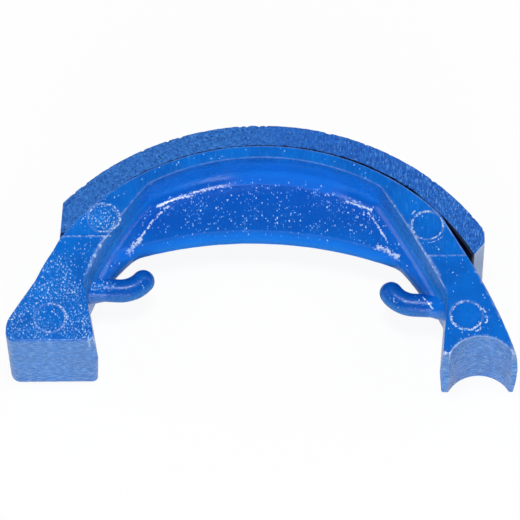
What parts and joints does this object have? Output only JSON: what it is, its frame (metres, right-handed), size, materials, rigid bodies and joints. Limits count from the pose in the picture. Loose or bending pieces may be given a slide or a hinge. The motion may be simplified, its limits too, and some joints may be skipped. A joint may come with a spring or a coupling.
{
  "type": "drum brake shoe",
  "caption": "Curved drum brake shoe: die-cast body with a web, flat cam foot, hollow pivot foot and cast spring horns, with a friction lining bonded around its rim.",
  "frame": {"origin": "axis of the pivot pin that the hollow foot turns on, at mid width of the casting", "axes": "+Z along the drum axis, the shoe lying on its side; +Y from the feet to the crown of the lining; +X from the cam foot to the pivot foot"},
  "size_m": [0.2074, 0.107, 0.0364],
  "materials": {
    "painted_casting": "die cast light alloy under a thin coat of glossy blue paint, with bare specks",
    "painted_lining": "moulded friction compound with sawn flanks, dusted with the same blue paint"
  },
  "bodies": {
    "root": {"shoe_casting": "painted_casting", "friction_lining": "painted_lining"}
  },
  "joints": []
}
